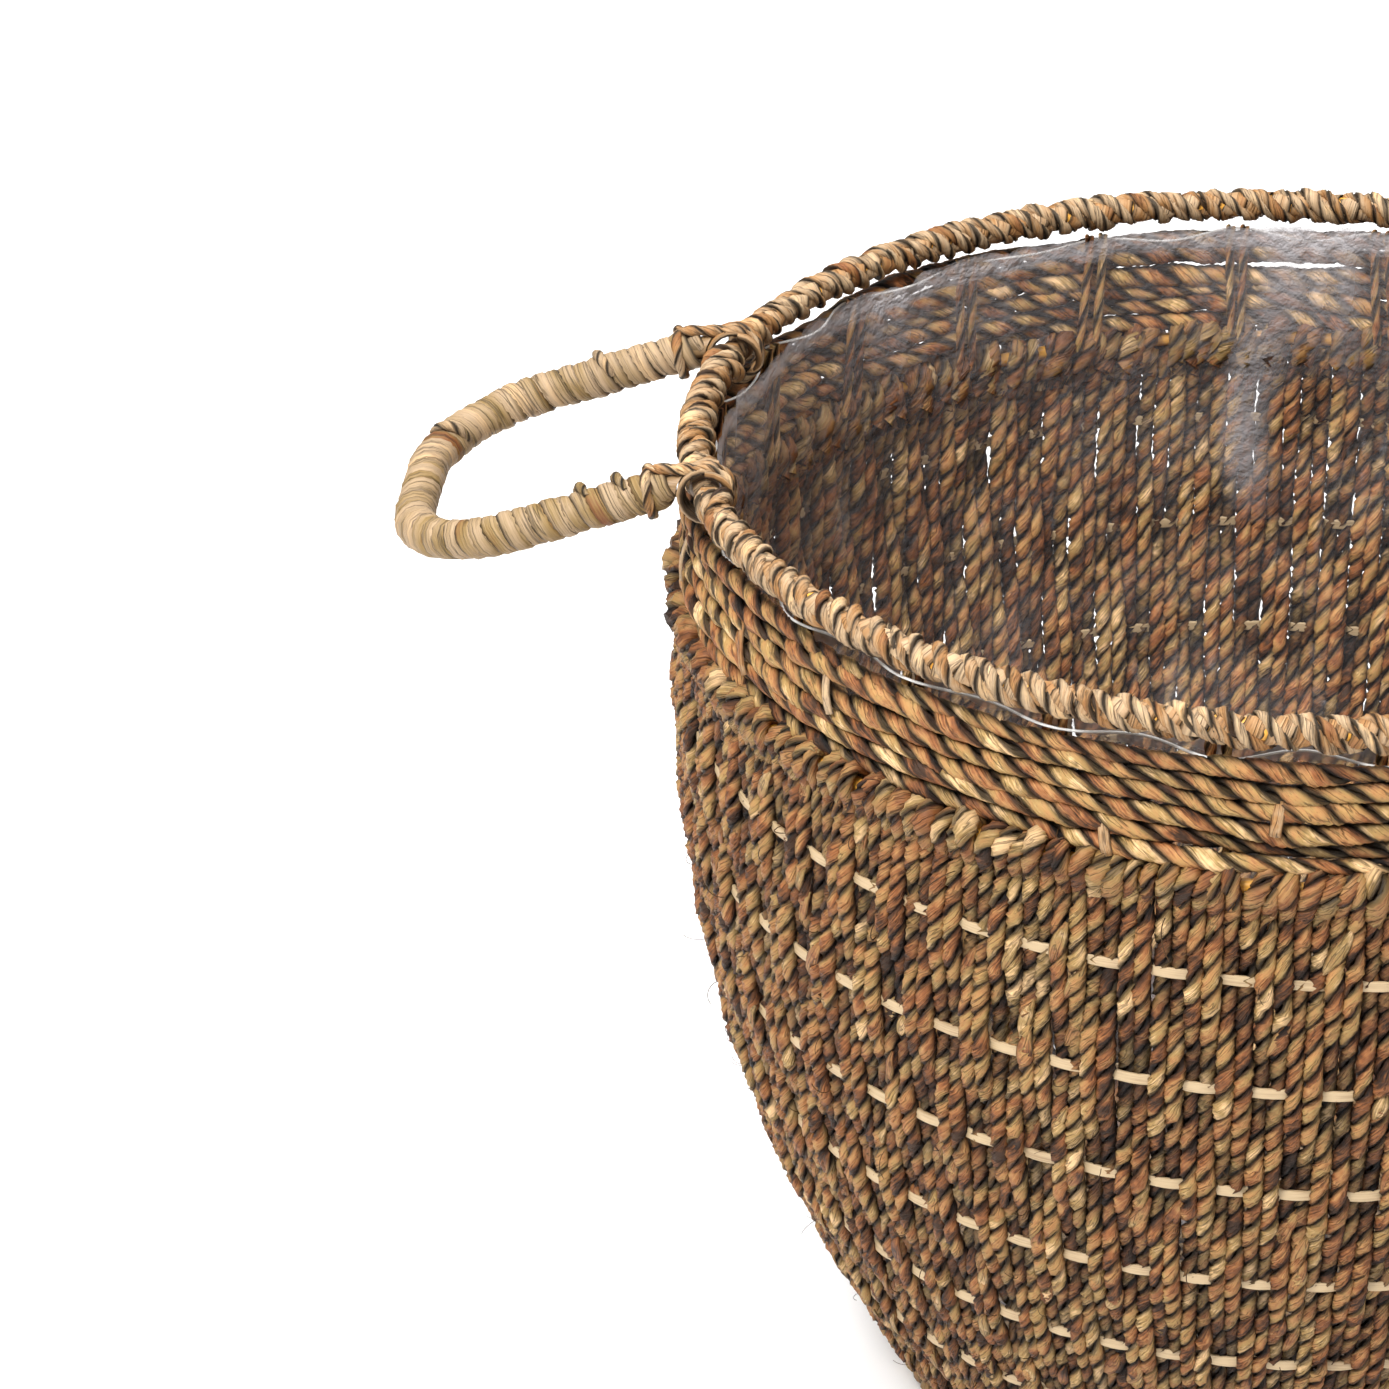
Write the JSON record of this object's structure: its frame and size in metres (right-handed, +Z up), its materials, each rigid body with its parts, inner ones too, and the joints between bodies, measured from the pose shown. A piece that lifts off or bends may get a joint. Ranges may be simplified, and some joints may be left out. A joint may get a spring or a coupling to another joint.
{
  "type": "seagrass storage basket",
  "caption": "Round bellied basket of twisted seagrass ropes over cane strips, with a wrapped rim, loose rope neck, two swinging wrapped handles and a clear film liner.",
  "frame": {"origin": "centre of the base, on the surface that the basket stands on", "axes": "+Z up through the open top, +X through the middle of the right handle, Y across the basket between the handles"},
  "size_m": [0.5136, 0.3566, 0.3025],
  "materials": {
    "cane_core": "smooth peeled cane",
    "cane_strip": "split cane, satin",
    "wall_seagrass": "twisted dried grass, rough",
    "neck_seagrass": "twisted dried grass, rough",
    "wrap_seagrass": "flat dried grass blades, satin",
    "handle_seagrass": "flat dried grass blades, matt",
    "clear_film": "clear creased film, glossy",
    "clear_thread": "clear nylon thread"
  },
  "bodies": {
    "basket": {"rim_hoop": "cane_core", "rim_wrap": "wrap_seagrass", "neck_rope_1": "neck_seagrass", "neck_rope_2": "neck_seagrass", "neck_rope_3": "neck_seagrass", "neck_rope_4": "neck_seagrass", "neck_rope_5": "neck_seagrass", "neck_rope_6": "neck_seagrass", "neck_stakes": "neck_seagrass", "shoulder_hoop": "cane_core", "shoulder_wrap": "wall_seagrass", "woven_wall": "wall_seagrass", "cane_strip_1": "cane_strip", "cane_strip_2": "cane_strip", "cane_strip_3": "cane_strip", "cane_strip_4": "cane_strip", "cane_strip_5": "cane_strip", "cane_strip_6": "cane_strip", "cane_strip_7": "cane_strip", "base_hoop": "cane_core", "base_wrap": "wrap_seagrass", "base_coil": "wall_seagrass", "liner": "clear_film", "liner_thread": "clear_thread"},
    "handle_left": {"handle_left_core": "cane_core", "handle_left_wrap": "handle_seagrass", "handle_left_lashing_front": "wrap_seagrass", "handle_left_lashing_back": "wrap_seagrass"},
    "handle_right": {"handle_right_core": "cane_core", "handle_right_wrap": "handle_seagrass", "handle_right_lashing_front": "wrap_seagrass", "handle_right_lashing_back": "wrap_seagrass"}
  },
  "joints": [
    {"name": "handle_left_swing", "type": "hinge", "parent": "basket", "child": "handle_left", "pos_m": [-0.16559, 0, 0.293], "axis": [0, 1, 0], "range_deg": [-40, 160]},
    {"name": "handle_right_swing", "type": "hinge", "parent": "basket", "child": "handle_right", "pos_m": [0.16559, 0, 0.293], "axis": [0, -1, 0], "range_deg": [-40, 160]}
  ]
}
